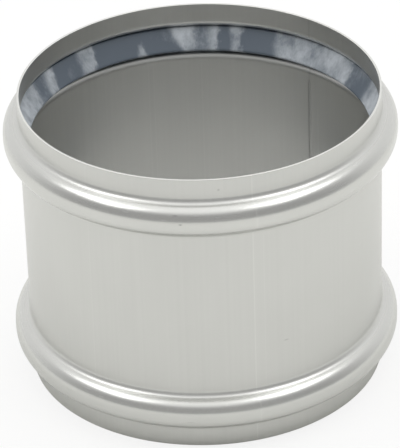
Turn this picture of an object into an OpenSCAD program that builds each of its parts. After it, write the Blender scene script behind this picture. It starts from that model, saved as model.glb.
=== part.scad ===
// Slip coupling for round stainless pipe: a straight sleeve of thin sheet, open
// at both ends, with a rolled bead near each end. Each bead is hollow inside,
// and the groove that it makes holds a rubber lip seal. A pipe is pushed in
// from either end until its wall lies behind the lip of the seal.
// The sleeve stands on one end, with its axis on Z and that end at Z = 0.

/* [Pipe] */
// Outside diameter of the pipes that the coupling joins
pipe_d = 160; // [100:1:250]
// Gap between a pipe and the wall of the sleeve
pipe_clear = 0.8; // [0.4:0.1:1.5]

/* [Sleeve] */
// Length of the sleeve, from end to end
sleeve_l = 138; // [110:1:260]
// Thickness of the sheet
sheet_t = 1; // [0.6:0.1:2]

/* [Beads] */
// Distance from an end of the sleeve to the middle of its bead
bead_inset = 19; // [16:0.5:30]
// Height of the crest of a bead over the wall
bead_h = 7.2; // [5.6:0.2:9]
// Outside radius of the two flanks of a bead
bead_r = 7; // [5.5:0.5:8]
// Width of the crest between the flanks
bead_land = 1.5; // [0.5:0.5:5]
// Outside radius of the fillets at the feet of a bead
foot_r = 3; // [1.5:0.5:4]

/* [Weld] */
// Width of the weld on the face of the wall
weld_w = 2; // [0.8:0.1:3]
// Height of the weld over the wall, inside and outside
weld_h = 0.15; // [0.05:0.05:0.4]
// Length beside each bead on which the weld is pressed flat
weld_flat = 1.5; // [0.5:0.5:5]
// Direction of the weld, counted from X around the axis
weld_angle = 50; // [0:1:359]

/* [Seals] */
// Gap between a seal and the groove that it sits in
seal_clear = 0.15; // [0.05:0.05:0.3]
// Depth of the body of a seal, from its outside inwards
seal_body_t = 4.45; // [3:0.05:5]
// Step from the roof of the groove down to the shoulder of the seal
seal_step = 0.6; // [0.4:0.1:1.5]
// Thickness of the lip
lip_t = 2; // [1.2:0.1:2.4]
// How far the free lip reaches inside the surface of the pipe
lip_bite = 2.9; // [1:0.1:5]
// Height of the lip, between the middles of its two round ends
lip_drop = 8.25; // [6:0.25:11]
// Radius of the heel, the round ridge along the foot of the seal
heel_r = 1; // [0.5:0.1:1.4]

/* [Hidden] */
round_fn = 180;
arc_fn = 96;

bore_r = pipe_d / 2 + pipe_clear;
wall_r = bore_r + sheet_t;
core_r = bore_r - sheet_t;
lower_bead_z = bead_inset;
upper_bead_z = sleeve_l - bead_inset;

// A flank is an arc around [flank_x, flank_z], seen from the middle of the
// bead. The fillet at its foot is an arc around [foot_x, foot_z]. The two arcs
// touch on the line between their middles, which leans by flank_angle.
flank_x = wall_r + bead_h - bead_r;
flank_z = bead_land / 2;
foot_x = wall_r + foot_r;
foot_z = flank_z + sqrt(pow(bead_r + foot_r, 2) - pow(foot_x - flank_x, 2));
flank_angle = atan2(foot_z - flank_z, foot_x - flank_x);
blend_angle = 2;

weld_bottom = lower_bead_z + foot_z + weld_flat;
weld_top = upper_bead_z - foot_z - weld_flat;
weld_arc_r = (pow(weld_w / 2, 2) + pow(weld_h, 2)) / (2 * weld_h);
weld_arc_x = weld_arc_r - weld_h - sheet_t / 2;

groove_r = bead_r - sheet_t;
seal_r = groove_r - seal_clear;
seal_out_r = flank_x + seal_r;
seal_body_r = seal_out_r - seal_body_t;
shoulder_z = flank_z + seal_r - seal_step;
lip_root = [seal_body_r, shoulder_z - lip_t / 2];
lip_tip = [pipe_d / 2 - lip_bite + lip_t / 2, lip_root[1] - lip_drop];
lip_angle = atan2(lip_root[1] - lip_tip[1], lip_root[0] - lip_tip[0]);
lip_l = norm(lip_root - lip_tip);
heel_z = -flank_z - sqrt(pow(seal_r - heel_r, 2) - pow(seal_body_r - flank_x, 2));

// A pie slice around the origin, from angle a to angle b
module slice(r, a, b) {
    far = 2 * r;
    mid = (a + b) / 2;
    intersection() {
        circle(r = r, $fn = arc_fn);
        polygon([
            [0, 0],
            far * [cos(a), sin(a)],
            far * [cos(mid), sin(mid)],
            far * [cos(b), sin(b)]
        ]);
    }
}

// Upper half of a bead, filled from the radius inner_r out to the face that
// lies at the depth skin under the outside of the sheet
module half_bead(skin, inner_r) {
    translate([inner_r, -flank_z])
        square([flank_x + bead_r - skin - inner_r, 2 * flank_z]);
    translate([flank_x, flank_z])
        slice(bead_r - skin, -blend_angle, flank_angle + blend_angle);
    difference() {
        polygon([
            [inner_r, 0],
            [flank_x, 0],
            [flank_x, flank_z],
            [foot_x, foot_z],
            [inner_r, foot_z]
        ]);
        translate([foot_x, foot_z])
            circle(r = foot_r + skin, $fn = arc_fn);
    }
}

module full_bead(skin, inner_r) {
    half_bead(skin, inner_r);
    mirror([0, 1])
        half_bead(skin, inner_r);
}

// Half section of the sleeve: all that the outer face holds, less all that
// the inner face holds
module sleeve_section() {
    difference() {
        union() {
            translate([core_r, 0])
                square([wall_r - core_r, sleeve_l]);
            for (z = [lower_bead_z, upper_bead_z])
                translate([0, z])
                    full_bead(0, core_r);
        }
        translate([core_r - sheet_t, -sheet_t])
            square([bore_r - core_r + sheet_t, sleeve_l + 2 * sheet_t]);
        for (z = [lower_bead_z, upper_bead_z])
            translate([0, z])
                full_bead(sheet_t, core_r - sheet_t);
    }
}

// The butt weld that closes the tube, a low round cap on both faces of the
// wall. The beads are rolled after welding, which presses it flat beside them.
module weld() {
    rotate([0, 0, weld_angle])
        translate([(bore_r + wall_r) / 2, 0, weld_bottom])
            linear_extrude(height = weld_top - weld_bottom)
                intersection() {
                    translate([weld_arc_x, 0])
                        circle(r = weld_arc_r, $fn = arc_fn);
                    translate([-weld_arc_x, 0])
                        circle(r = weld_arc_r, $fn = arc_fn);
                }
}

module coupling_sleeve() {
    color([0.76, 0.76, 0.75]) {
        rotate_extrude($fn = round_fn)
            sleeve_section();
        weld();
    }
}

// Half section of a seal, with the middle of its groove at Y = 0. The body
// follows the groove, the lip hangs inwards from the shoulder, and the heel
// holds the body square in the groove.
module seal_section() {
    intersection() {
        union() {
            translate([flank_x, flank_z])
                circle(r = seal_r, $fn = arc_fn);
            translate([flank_x, -flank_z])
                circle(r = seal_r, $fn = arc_fn);
            translate([flank_x, -flank_z])
                square([seal_r, 2 * flank_z]);
        }
        translate([seal_body_r, -flank_z - seal_r])
            square([seal_body_t, shoulder_z + flank_z + seal_r]);
    }
    translate(lip_root)
        circle(d = lip_t, $fn = arc_fn);
    translate(lip_tip)
        circle(d = lip_t, $fn = arc_fn);
    translate(lip_tip)
        rotate(lip_angle)
            translate([0, -lip_t / 2])
                square([lip_l, lip_t]);
    translate([seal_body_r, heel_z])
        circle(r = heel_r, $fn = arc_fn);
}

module seal_ring() {
    color([0.35, 0.37, 0.39])
        rotate_extrude($fn = round_fn)
            seal_section();
}

module upper_seal() {
    translate([0, 0, upper_bead_z])
        seal_ring();
}

module lower_seal() {
    translate([0, 0, lower_bead_z])
        mirror([0, 0, 1])
            seal_ring();
}

coupling_sleeve();
upper_seal();
lower_seal();
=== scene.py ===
import math

import bmesh
import bpy
from mathutils import Matrix, Vector


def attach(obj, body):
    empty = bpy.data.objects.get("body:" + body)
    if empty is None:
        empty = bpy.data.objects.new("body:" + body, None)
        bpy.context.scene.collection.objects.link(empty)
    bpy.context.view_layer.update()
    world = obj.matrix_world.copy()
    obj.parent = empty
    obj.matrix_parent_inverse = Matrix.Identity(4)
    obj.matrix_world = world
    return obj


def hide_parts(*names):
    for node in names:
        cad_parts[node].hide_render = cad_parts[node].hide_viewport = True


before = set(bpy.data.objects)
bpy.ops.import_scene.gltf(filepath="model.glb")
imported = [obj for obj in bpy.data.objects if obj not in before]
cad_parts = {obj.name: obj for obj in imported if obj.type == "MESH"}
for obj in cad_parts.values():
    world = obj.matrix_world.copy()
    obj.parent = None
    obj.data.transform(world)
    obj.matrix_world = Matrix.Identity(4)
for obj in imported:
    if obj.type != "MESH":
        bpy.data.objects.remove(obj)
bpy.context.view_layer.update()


# Coupling sleeve: a tube of 1 mm stainless sheet, rolled round and closed by
# a lengthwise weld, with both ends cut square. Rollers then pressed a hollow
# bead outwards near each end, with a small fillet at each of its feet.
MM = 0.001
SLEEVE_LENGTH = 138 * MM
SHEET = 1 * MM
BORE_RADIUS = 80.8 * MM
WALL_RADIUS = BORE_RADIUS + SHEET
CUT_EDGE = 0.2 * MM
CUT_STEPS = 3
GUARD = 0.4 * MM

LOWER_BEAD = 19 * MM
UPPER_BEAD = 119 * MM
FLANK_RADIUS = 7 * MM
FLANK_CENTRE = 82 * MM
HALF_LAND = 0.75 * MM
FOOT_RADIUS = 3 * MM
FOOT_CENTRE = WALL_RADIUS + FOOT_RADIUS
FOOT_OFFSET = 10.35 * MM
FLANK_ANGLE = math.atan2(9.6, 2.8)
FLANK_STEPS = 14
FOOT_STEPS = 10

TURN_STEPS = 320
WELDED = 1e-7


def run_to(section, point, radius, height, guard=0.0):
    """Draws a section straight on to a place, with a short step at each end if there is a guard."""
    start = point.co.copy()
    way = Vector((radius, 0, height)) - start
    short = guard / way.length
    for share in (short, 0.5, 1 - short, 1) if guard else (1,):
        point = bmesh.ops.extrude_vert_indiv(section, verts=[point])["verts"][0]
        point.co = start + way * share
    return point


def turn(section, point, radius, height, angle, steps):
    """Draws a section on along an arc around a place, anticlockwise where the angle is positive."""
    made = bmesh.ops.spin(
        section, geom=[point], cent=(radius, 0, height), axis=(0, -1, 0), angle=angle, steps=steps
    )
    return next(part for part in made["geom_last"] if isinstance(part, bmesh.types.BMVert))


def bead_face(section, point, middle, skin, way):
    """Draws one face of a bead, at the depth skin under its outside. The way is 1 up the tube and -1 down."""
    bend = way * FLANK_ANGLE
    crest = FLANK_CENTRE + FLANK_RADIUS - skin
    for side in (-way, way):
        foot = middle + side * FOOT_OFFSET
        flank = middle + side * HALF_LAND
        if side == -way:
            point = run_to(section, point, WALL_RADIUS - skin, foot, GUARD)
            point = turn(section, point, FOOT_CENTRE, foot, -bend, FOOT_STEPS)
            point = turn(section, point, FLANK_CENTRE, flank, bend, FLANK_STEPS)
        else:
            point = run_to(section, point, crest, flank)
            point = turn(section, point, FLANK_CENTRE, flank, bend, FLANK_STEPS)
            point = turn(section, point, FOOT_CENTRE, foot, -bend, FOOT_STEPS)
    return point


def turned_piece(section, name, sharp=()):
    """Closes a section, spins it once round the axis and makes it a smooth piece. The sharp places keep their edge."""
    bmesh.ops.remove_doubles(section, verts=section.verts, dist=WELDED)
    bmesh.ops.spin(
        section,
        geom=section.verts[:] + section.edges[:],
        cent=(0, 0, 0),
        axis=(0, 0, 1),
        angle=math.tau,
        steps=TURN_STEPS,
        use_merge=True,
    )
    bmesh.ops.remove_doubles(section, verts=section.verts, dist=WELDED)
    bmesh.ops.recalc_face_normals(section, faces=section.faces)
    for face in section.faces:
        face.smooth = True
    for edge in section.edges if sharp else ():
        ends = [Vector((vert.co.to_2d().length, vert.co.z)) for vert in edge.verts]
        edge.smooth = not any((ends[0] - place).length + (ends[1] - place).length < SHEET / 100 for place in sharp)
    return piece_of(section, name)


def piece_of(shape, name):
    """Makes a mesh object of a finished shape."""
    mesh = bpy.data.meshes.new(name)
    shape.to_mesh(mesh)
    shape.free()
    piece = bpy.data.objects.new(name, mesh)
    bpy.context.scene.collection.objects.link(piece)
    return piece


class Wire:
    """A value in a material. Sums, products and powers of wires add their Math nodes."""

    def __init__(self, finish, socket):
        self.finish = finish
        self.socket = socket

    def output(self, name):
        return Wire(self.finish, self.socket.node.outputs[name])

    def __add__(self, other):
        return self.finish.maths("ADD", self, other)

    def __sub__(self, other):
        return self.finish.maths("SUBTRACT", self, other)

    def __rsub__(self, other):
        return self.finish.maths("SUBTRACT", other, self)

    def __mul__(self, other):
        return self.finish.maths("MULTIPLY", self, other)

    def __pow__(self, other):
        return self.finish.maths("POWER", self, other)

    def __abs__(self):
        return self.finish.maths("ABSOLUTE", self)

    def __gt__(self, other):
        return self.finish.maths("GREATER_THAN", self, other)

    def __lt__(self, other):
        return self.finish.maths("LESS_THAN", self, other)

    __radd__ = __add__
    __rmul__ = __mul__


class Finish:
    """The nodes of one surface or of the world."""

    def __init__(self, owner):
        owner.use_nodes = True
        self.owner = owner
        self.tree = owner.node_tree
        self.tree.nodes.clear()

    def node(self, kind, settings, sockets, output=0):
        """Adds a node. Its settings come first, then the values and wires of its sockets."""
        made = self.tree.nodes.new(kind)
        for name, value in settings.items():
            setattr(made, name, value)
        for key, value in sockets.items():
            if isinstance(value, Wire):
                self.tree.links.new(value.socket, made.inputs[key])
            else:
                made.inputs[key].default_value = value
        return Wire(self, made.outputs[output]) if made.outputs else made

    def maths(self, operation, *values):
        return self.node("ShaderNodeMath", {"operation": operation}, dict(enumerate(values)))

    def place(self):
        """Where a point is on the object, in metres, and its three parts."""
        spot = self.node("ShaderNodeTexCoord", {}, {}, "Object")
        parts = self.node("ShaderNodeSeparateXYZ", {}, {"Vector": spot}, "X")
        return spot, parts, parts.output("Y"), parts.output("Z")

    def noise(self, spot, scales, detail=2.0, roughness=0.5):
        """Smooth noise from -0.5 to 0.5, with so many waves to the metre along each axis."""
        stretched = self.node("ShaderNodeVectorMath", {"operation": "MULTIPLY"}, {0: spot, 1: scales})
        sockets = {"Vector": stretched, "Scale": 1.0, "Detail": detail, "Roughness": roughness}
        return self.node("ShaderNodeTexNoise", {}, sockets) - 0.5

    def ease(self, value, low, high):
        """Goes smoothly from 0 at low to 1 at high."""
        settings = {"interpolation_type": "SMOOTHSTEP"}
        sockets = {"Value": value, "From Min": low, "From Max": high, "To Min": 0.0, "To Max": 1.0}
        return self.node("ShaderNodeMapRange", settings, sockets)

    def mix(self, share, first, second):
        """Blends two colours."""
        return self.node("ShaderNodeMix", {"data_type": "RGBA"}, {0: share, 6: first, 7: second}, 2)

    def shade(self, colour, tone):
        """A colour made lighter or darker."""
        return self.node("ShaderNodeVectorMath", {"operation": "SCALE"}, {0: colour, "Scale": tone})

    def surface(self, shader):
        kind = "ShaderNodeOutputWorld" if isinstance(self.owner, bpy.types.World) else "ShaderNodeOutputMaterial"
        self.node(kind, {}, {"Surface": shader})
        return self.owner


def draw_line(finish, x, y, z, angle, width, low, high):
    """A straight mark along the tube, at an angle from X, 1 in its middle and 0 at its sides."""
    cos, sin = math.cos(math.radians(angle)), math.sin(math.radians(angle))
    off = abs(y * cos - x * sin)
    facing = x * cos + y * sin > 0
    fade = 4 * MM
    along = finish.ease(z, low - fade, low + fade) * finish.ease(z, high + fade, high - fade)
    return finish.ease(off, width, 0) * facing * along


def nick(finish, spot, angle, radius, height, length, depth):
    """A small dent or rub, longer around the tube than along it, 1 in its middle."""
    cos, sin = math.cos(math.radians(angle)), math.sin(math.radians(angle))
    centre = (radius * cos, radius * sin, height)
    away = finish.node("ShaderNodeVectorMath", {"operation": "SUBTRACT"}, {0: spot, 1: centre})
    stretch = (1, 1, length / depth)
    away = finish.node("ShaderNodeVectorMath", {"operation": "MULTIPLY"}, {0: away, 1: stretch})
    far = finish.node("ShaderNodeVectorMath", {"operation": "LENGTH"}, {0: away}, "Value")
    return finish.ease(far, length, length * 0.3)


STEEL_TONE = (0.6, 0.602, 0.58)
# The bore is the same steel as the outside: its lighter tone is painted light, which brightens the inside of the tube.
BORE_TONE_PAINTED_LIGHTER = (0.67, 0.67, 0.65)
WALL_GLOSS = 0.38
BEAD_GLOSS = 0.27


def sheet_finish(name, steel_and_painted_light_tone, radius_of_wall, lines, nicks):
    """Pickled stainless sheet: satin, with faint lines along the tube, and burnished round the beads. On the bore the
    tone is lighter than the outside steel as painted light.
    """
    finish = Finish(bpy.data.materials.new(name))
    spot, x, y, z = finish.place()
    radius = (x * x + y * y) ** 0.5
    bead = finish.ease(radius, radius_of_wall + 0.3 * MM, radius_of_wall + 2.5 * MM)
    streaks = finish.noise(spot, (620, 620, 4), 3.0)
    clouds = finish.noise(spot, (32, 32, 22), 2.0)
    rolled = finish.noise(spot, (45, 45, 1400), 3.0)
    flecks = finish.noise(spot, (420, 420, 900), 2.0)
    wall = 1 - bead
    tone = 1 + streaks * wall * 0.07 + clouds * 0.06 + rolled * bead * 0.04 + flecks * bead * 0.02
    for angle, width, low, high, strength in lines:
        tone = tone + draw_line(finish, x, y, z, angle, width, low, high) * strength
    for angle, reach, height, length, depth, strength in nicks:
        tone = tone + nick(finish, spot, angle, reach, height, length, depth) * strength
    cut = finish.ease(abs(z - SLEEVE_LENGTH / 2), SLEEVE_LENGTH / 2 - 0.3 * MM, SLEEVE_LENGTH / 2)
    roughness = WALL_GLOSS + bead * (BEAD_GLOSS - WALL_GLOSS) + streaks * wall * 0.1 + rolled * bead * 0.02
    bump = finish.node(
        "ShaderNodeBump",
        {},
        {"Strength": 0.06, "Distance": 0.03 * MM, "Height": streaks * wall + rolled * bead},
    )
    steel = finish.node(
        "ShaderNodeBsdfPrincipled",
        {},
        {
            "Base Color": finish.shade(steel_and_painted_light_tone, tone + cut * 0.2),
            "Metallic": 1.0,
            "Roughness": roughness + cut * 0.1,
            "Normal": bump,
        },
    )
    return finish.surface(steel)


section = bmesh.new()
point = section.verts.new((WALL_RADIUS - CUT_EDGE, 0, 0))
point = turn(section, point, WALL_RADIUS - CUT_EDGE, CUT_EDGE, math.pi / 2, CUT_STEPS)
point = bead_face(section, point, LOWER_BEAD, 0, 1)
point = bead_face(section, point, UPPER_BEAD, 0, 1)
point = run_to(section, point, WALL_RADIUS, SLEEVE_LENGTH - CUT_EDGE, GUARD)
point = turn(section, point, WALL_RADIUS - CUT_EDGE, SLEEVE_LENGTH - CUT_EDGE, math.pi / 2, CUT_STEPS)
point = run_to(section, point, BORE_RADIUS + CUT_EDGE, SLEEVE_LENGTH)
point = turn(section, point, BORE_RADIUS + CUT_EDGE, SLEEVE_LENGTH - CUT_EDGE, math.pi / 2, CUT_STEPS)
point = bead_face(section, point, UPPER_BEAD, SHEET, -1)
point = bead_face(section, point, LOWER_BEAD, SHEET, -1)
point = run_to(section, point, BORE_RADIUS, CUT_EDGE, GUARD)
point = turn(section, point, BORE_RADIUS + CUT_EDGE, CUT_EDGE, math.pi / 2, CUT_STEPS)
run_to(section, point, WALL_RADIUS - CUT_EDGE, 0)
sleeve = turned_piece(section, "sleeve")

outside_lines = [
    (50.0, 0.9 * MM, 0, SLEEVE_LENGTH, -0.06),
    (-75.0, 0.5 * MM, 0, SLEEVE_LENGTH, 0.07),
    (-71.7, 0.4 * MM, 31 * MM, 109 * MM, 0.03),
    (-97.0, 0.4 * MM, 31 * MM, 109 * MM, 0.02),
    (-128.0, 0.5 * MM, 0, SLEEVE_LENGTH, 0.03),
    (24.0, 0.5 * MM, 0, SLEEVE_LENGTH, 0.04),
    (113.0, 0.5 * MM, 31 * MM, 109 * MM, 0.04),
    (171.0, 0.4 * MM, 0, SLEEVE_LENGTH, 0.03),
]
outside_nicks = [
    (-96.4, 88.7 * MM, 120.1 * MM, 1.1 * MM, 0.45 * MM, -0.55),
    (-85.2, 81.8 * MM, 132.8 * MM, 0.8 * MM, 0.8 * MM, -0.2),
    (-97.9, 87.0 * MM, 123.8 * MM, 1.8 * MM, 0.4 * MM, -0.25),
    (-64.7, 81.8 * MM, 50.2 * MM, 1.6 * MM, 0.4 * MM, -0.22),
    (-95.5, 88.8 * MM, 17.4 * MM, 2.2 * MM, 0.4 * MM, -0.15),
    (38.0, 88.7 * MM, 120.6 * MM, 1.4 * MM, 0.4 * MM, -0.35),
    (142.0, 81.8 * MM, 71.0 * MM, 1.5 * MM, 0.4 * MM, -0.2),
    (-171.0, 88.8 * MM, 19.8 * MM, 1.6 * MM, 0.4 * MM, -0.3),
]
bore_lines = [
    (50.0, 0.9 * MM, 0, SLEEVE_LENGTH, -0.1),
    (107.1, 0.5 * MM, 31 * MM, 109 * MM, 0.03),
    (105.3, 0.4 * MM, 31 * MM, 109 * MM, 0.03),
    (88.9, 0.6 * MM, 31 * MM, 109 * MM, 0.03),
    (46.5, 0.6 * MM, 65 * MM, 92 * MM, 0.04),
    (-64.0, 0.5 * MM, 31 * MM, 109 * MM, 0.03),
    (-142.0, 0.5 * MM, 31 * MM, 109 * MM, 0.03),
]
sleeve.data.materials.append(sheet_finish("sheet_outside", STEEL_TONE, WALL_RADIUS, outside_lines, outside_nicks))
# The bore's lighter tone is painted light inside the tube.
sleeve.data.materials.append(sheet_finish("sheet_bore_painted_light", BORE_TONE_PAINTED_LIGHTER, BORE_RADIUS, bore_lines, []))
for face in sleeve.data.polygons:
    outwards = Vector((face.center.x, face.center.y, 0)).normalized()
    face.material_index = 1 if face.normal.dot(outwards) < -0.05 else 0
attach(sleeve, "root")
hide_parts("coupling_sleeve")


# Lengthwise weld: the seam that closes the tube, melted right through the
# sheet and left as a low rippled cap inside and outside. The rollers press
# it flat beside the beads, so that only a dull line is left of it there.
WELD_ANGLE = math.radians(50)
WELD_BOTTOM = 30.85 * MM
WELD_TOP = 107.15 * MM
WELD_HALF_DEPTH = SHEET / 2 + 0.15 * MM
WELD_HALF_WIDTH = 1.56 * MM
RIPPLE_CURVE = 0.5 * MM
RIPPLE_STEPS = 3
RIPPLE_RINGS = 320
RIPPLE_DEPTH = 0.05

weld_shape = bmesh.new()
bmesh.ops.create_circle(weld_shape, segments=24, radius=1)
bmesh.ops.scale(weld_shape, vec=(WELD_HALF_DEPTH, WELD_HALF_WIDTH, 1), verts=weld_shape.verts)
for vert in weld_shape.verts:
    vert.co.z = -RIPPLE_CURVE * (vert.co.y / WELD_HALF_WIDTH) ** 2
ring = weld_shape.edges[:]
rise = (WELD_TOP - WELD_BOTTOM - RIPPLE_CURVE) / RIPPLE_RINGS
bulge = 1.0
for number in range(RIPPLE_RINGS):
    made = bmesh.ops.extrude_edge_only(weld_shape, edges=ring)["geom"]
    ring = [part for part in made if isinstance(part, bmesh.types.BMEdge)]
    verts = [part for part in made if isinstance(part, bmesh.types.BMVert)]
    bmesh.ops.translate(weld_shape, vec=(0, 0, rise), verts=verts)
    to_end = min(number + 1, RIPPLE_RINGS - number - 1) * rise
    pressed = min(1.0, 0.72 + 0.28 * to_end / (4 * MM))
    new_bulge = pressed * (1 - RIPPLE_DEPTH * (number % RIPPLE_STEPS) / RIPPLE_STEPS)
    bmesh.ops.scale(weld_shape, vec=(new_bulge / bulge, 1, 1), verts=verts)
    bulge = new_bulge
bmesh.ops.holes_fill(weld_shape, edges=weld_shape.edges, sides=0)
bmesh.ops.translate(
    weld_shape,
    vec=((BORE_RADIUS + WALL_RADIUS) / 2, 0, WELD_BOTTOM + RIPPLE_CURVE),
    verts=weld_shape.verts,
)
bmesh.ops.rotate(
    weld_shape, cent=(0, 0, 0), matrix=Matrix.Rotation(WELD_ANGLE, 3, "Z"), verts=weld_shape.verts
)
bmesh.ops.recalc_face_normals(weld_shape, faces=weld_shape.faces)
for face in weld_shape.faces:
    face.smooth = len(face.verts) == 4
weld = piece_of(weld_shape, "lengthwise_weld")

finish = Finish(bpy.data.materials.new("weld_steel"))
spot, x, y, z = finish.place()
scale_marks = finish.noise(spot, (900, 900, 1500), 3.0)
weld_steel = finish.node(
    "ShaderNodeBsdfPrincipled",
    {},
    {
        "Base Color": finish.shade((0.54, 0.54, 0.525), 1 + scale_marks * 0.2),
        "Metallic": 1.0,
        "Roughness": 0.36 + scale_marks * 0.15,
    },
)
weld.data.materials.append(finish.surface(weld_steel))
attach(weld, "root")


# Lip seals: two equal rings of moulded rubber, one seated in the groove of
# each bead and held there by its body and heel. The thin lip leans inwards
# and away from the mouth, and presses on the pipe that is pushed in.
SEAL_RADIUS = 5.85 * MM
SEAL_FACE = 83.4 * MM
SHOULDER = 6 * MM
LIP_RADIUS = 1 * MM
LIP_ROOT = Vector((83.4 * MM, 5 * MM))
LIP_TIP = Vector((78.1 * MM, -3.25 * MM))
HEEL_RADIUS = 1 * MM
HEEL_ANGLE = math.acos((SEAL_FACE - FLANK_CENTRE) / (SEAL_RADIUS - HEEL_RADIUS))
HEEL_HEIGHT = -HALF_LAND - (SEAL_RADIUS - HEEL_RADIUS) * math.sin(HEEL_ANGLE)
LIP_STEPS = 10


def seal_ring(name, middle, way):
    """One seal, with its shoulder towards the mouth of the sleeve: the way is 1 at the top and -1 at the bottom."""
    shoulder_angle = math.asin((SHOULDER - HALF_LAND) / SEAL_RADIUS)
    lip = LIP_ROOT - LIP_TIP
    lean = math.atan2(lip.y, lip.x)
    side = Vector((-math.sin(lean), math.cos(lean))) * LIP_RADIUS
    under = LIP_TIP - side + lip * ((SEAL_FACE - LIP_TIP.x + side.x) / lip.x)

    def level(height):
        return middle + way * height

    section = bmesh.new()
    point = section.verts.new((FLANK_CENTRE + SEAL_RADIUS, 0, level(-HALF_LAND)))
    point = run_to(section, point, FLANK_CENTRE + SEAL_RADIUS, level(HALF_LAND))
    point = turn(section, point, FLANK_CENTRE, level(HALF_LAND), way * shoulder_angle, FLANK_STEPS)
    point = run_to(section, point, LIP_ROOT.x, level(SHOULDER), GUARD / 4)
    point = turn(section, point, LIP_ROOT.x, level(LIP_ROOT.y), way * lean, LIP_STEPS)
    point = run_to(section, point, *Vector((LIP_TIP.x + side.x, level(LIP_TIP.y + side.y))), GUARD / 2)
    point = turn(section, point, LIP_TIP.x, level(LIP_TIP.y), way * math.pi, LIP_STEPS)
    point = run_to(section, point, SEAL_FACE, level(under.y), GUARD / 2)
    point = run_to(section, point, SEAL_FACE, level(HEEL_HEIGHT + HEEL_RADIUS), GUARD / 2)
    heel_turn = way * (math.tau * 0.75 - HEEL_ANGLE)
    point = turn(section, point, SEAL_FACE, level(HEEL_HEIGHT), heel_turn, LIP_STEPS)
    turn(section, point, FLANK_CENTRE, level(-HALF_LAND), way * HEEL_ANGLE, FLANK_STEPS)
    corners = [
        Vector((FLANK_CENTRE + SEAL_RADIUS * math.cos(shoulder_angle), level(SHOULDER))),
        Vector((SEAL_FACE, level(under.y))),
        Vector((SEAL_FACE, level(HEEL_HEIGHT + HEEL_RADIUS))),
    ]
    return turned_piece(section, name, corners)


RUBBER_DARK = (0.12, 0.148, 0.183, 1)
RUBBER_BLOOM = (0.6, 0.64, 0.68, 1)
ARC = math.pi / 180 * 80 * MM


def rubber_finish(name, middle, rubs):
    """Dark grey rubber under a pale chalky bloom, which is rubbed off in patches."""
    finish = Finish(bpy.data.materials.new(name))
    spot, x, y, z = finish.place()
    blotches = finish.noise(spot, (95, 95, 60), 3.0)
    smears = finish.noise(spot, (420, 420, 130), 3.0, 0.6)
    scuffs = finish.noise(spot, (1500, 1500, 220), 2.0)
    grain = finish.noise(spot, (2600, 2600, 2600), 2.0)
    bloom = 0.55 + blotches * 1.2 + smears * 0.5 + scuffs * 0.25
    for angle, half_width, lean, strength in rubs:
        cos, sin = math.cos(math.radians(angle)), math.sin(math.radians(angle))
        off = abs(y * cos - x * sin + (z - middle) * lean + smears * 4 * MM)
        facing = x * cos + y * sin > 0
        patch = finish.ease(off, (half_width + 1.8) * ARC, (half_width - 1.8) * ARC) * facing
        bloom = bloom - patch * strength
    bloom = finish.ease(bloom, 0, 1)
    bump = finish.node(
        "ShaderNodeBump", {}, {"Strength": 0.3, "Distance": 0.1 * MM, "Height": grain + scuffs}
    )
    rubber = finish.node(
        "ShaderNodeBsdfPrincipled",
        {},
        {
            "Base Color": finish.mix(bloom, RUBBER_DARK, RUBBER_BLOOM),
            "Roughness": 0.45 + bloom * 0.25,
            "Specular IOR Level": 0.5,
            "Normal": bump,
        },
    )
    return finish.surface(rubber)


upper_rubs = [
    (154.6, 3.7, 0.3, 0.35),
    (140.0, 5.8, 0.2, 0.6),
    (118.8, 7.9, 0.2, 0.75),
    (102.9, 6.0, -0.5, 0.7),
    (87.9, 2.5, 0.0, 0.25),
    (81.0, 1.7, 0.0, 0.7),
    (68.7, 5.6, -0.1, 0.6),
    (23.3, 6.0, 0.0, 0.5),
]
for name, node, middle, way, rubs in (
    ("upper_lip_seal", "upper_seal", UPPER_BEAD, 1, upper_rubs),
    ("lower_lip_seal", "lower_seal", LOWER_BEAD, -1, []),
):
    seal = seal_ring(name, middle, way)
    seal.data.materials.append(rubber_finish(name + "_rubber", middle, rubs))
    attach(seal, "root")
    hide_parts(node)


# Floor: a plain round white table top that the coupling stands on. Where the
# camera sees it lit it is as white as the backdrop, with a soft shadow left.
# From below it can't be seen, so that the lower mouth shows.
FLOOR_RADIUS = 0.9
FLOOR_TONE = (0.93, 0.93, 0.91, 1)
FLOOR_WHITE = 0.8

floor_shape = bmesh.new()
bmesh.ops.create_circle(floor_shape, cap_ends=True, segments=96, radius=FLOOR_RADIUS)
floor = piece_of(floor_shape, "floor")
finish = Finish(bpy.data.materials.new("white_table"))
matt = finish.node("ShaderNodeBsdfDiffuse", {}, {"Color": FLOOR_TONE})
white = finish.node("ShaderNodeEmission", {}, {"Color": (1, 1, 1, 1), "Strength": 1.0})
clear = finish.node("ShaderNodeBsdfTransparent", {}, {})
seen = finish.node("ShaderNodeLightPath", {}, {}, "Is Camera Ray")
lit = finish.node("ShaderNodeMixShader", {}, {0: seen * FLOOR_WHITE, 1: matt, 2: white})
under = finish.node("ShaderNodeNewGeometry", {}, {}, "Backfacing")
floor.data.materials.append(
    finish.surface(finish.node("ShaderNodeMixShader", {}, {0: under, 1: lit, 2: clear}))
)


# Studio: a white backdrop behind the object and overhead, a darker room on
# the camera's side, and a large soft box high up on the left and the right.
# The camera itself sees plain white behind the object.
ROOM = 0.48
BACKDROP = 1.0
OVERHEAD = 1.3

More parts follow.
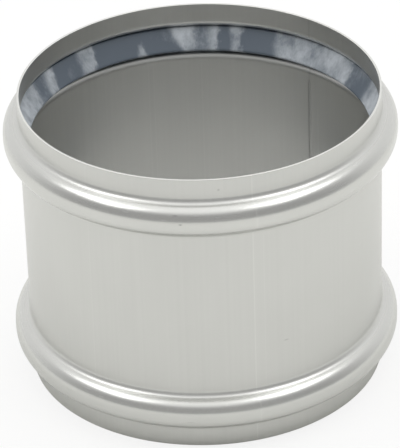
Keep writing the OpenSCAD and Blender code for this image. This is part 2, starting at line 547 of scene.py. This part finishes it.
world = bpy.data.worlds.new("studio")
bpy.context.scene.world = world
finish = Finish(world)
way_out = finish.node("ShaderNodeTexCoord", {}, {}, "Generated")
east = finish.node("ShaderNodeSeparateXYZ", {}, {"Vector": way_out}, "X")
behind = finish.ease(east.output("Y"), -0.4, 0.7)
above = finish.ease(east.output("Z"), 0.6, 0.97)
level = ROOM + behind * (BACKDROP - ROOM)
level = level * (1 - above) + above * OVERHEAD
studio = finish.node("ShaderNodeBackground", {}, {"Color": (1, 1, 1, 1), "Strength": level})
plain = finish.node("ShaderNodeBackground", {}, {"Color": (1, 1, 1, 1), "Strength": 1.0})
seen = finish.node("ShaderNodeLightPath", {}, {}, "Is Camera Ray")
finish.surface(finish.node("ShaderNodeMixShader", {}, {0: seen, 1: studio, 2: plain}))

BOX_DISTANCE = 1.3
BOX_WIDTH = 0.75
BOX_HEIGHT = 0.42
BOX_POWER = 2.3
AIM = Vector((0, 0, SLEEVE_LENGTH / 2))
for name, side, height, power in (
    ("left_box", -78, 54, BOX_POWER),
    ("right_box", 78, 60, BOX_POWER),
):
    box = bpy.data.lights.new(name, "AREA")
    box.shape = "RECTANGLE"
    box.size = BOX_WIDTH
    box.size_y = BOX_HEIGHT
    box.energy = power
    lamp = bpy.data.objects.new(name, box)
    bpy.context.scene.collection.objects.link(lamp)
    azimuth, rise = math.radians(side), math.radians(height)
    out = Vector((math.sin(azimuth) * math.cos(rise), -math.cos(azimuth) * math.cos(rise), math.sin(rise)))
    lamp.location = AIM + out * BOX_DISTANCE
    lamp.rotation_euler = out.to_track_quat("Z", "Y").to_euler()


# Camera: far back with a long lens, looking down into the upper mouth, and
# leaned a little to one side as the photograph is.
CAMERA_PLACE = (0, -1.236225, 0.820571)
CAMERA_DOWN = math.radians(31.3866)
CAMERA_ASIDE = math.radians(0.0744)
CAMERA_LEAN = math.radians(-1.9216)

view = bpy.data.cameras.new("camera")
view.sensor_width = 36
view.lens = 253.289
camera = bpy.data.objects.new("camera", view)
bpy.context.scene.collection.objects.link(camera)
camera.matrix_world = (
    Matrix.Translation(CAMERA_PLACE)
    @ Matrix.Rotation(CAMERA_ASIDE, 4, "Z")
    @ Matrix.Rotation(math.pi / 2 - CAMERA_DOWN, 4, "X")
    @ Matrix.Rotation(CAMERA_LEAN, 4, "Z")
)
bpy.context.scene.camera = camera
bpy.context.scene.view_settings.view_transform = "Standard"
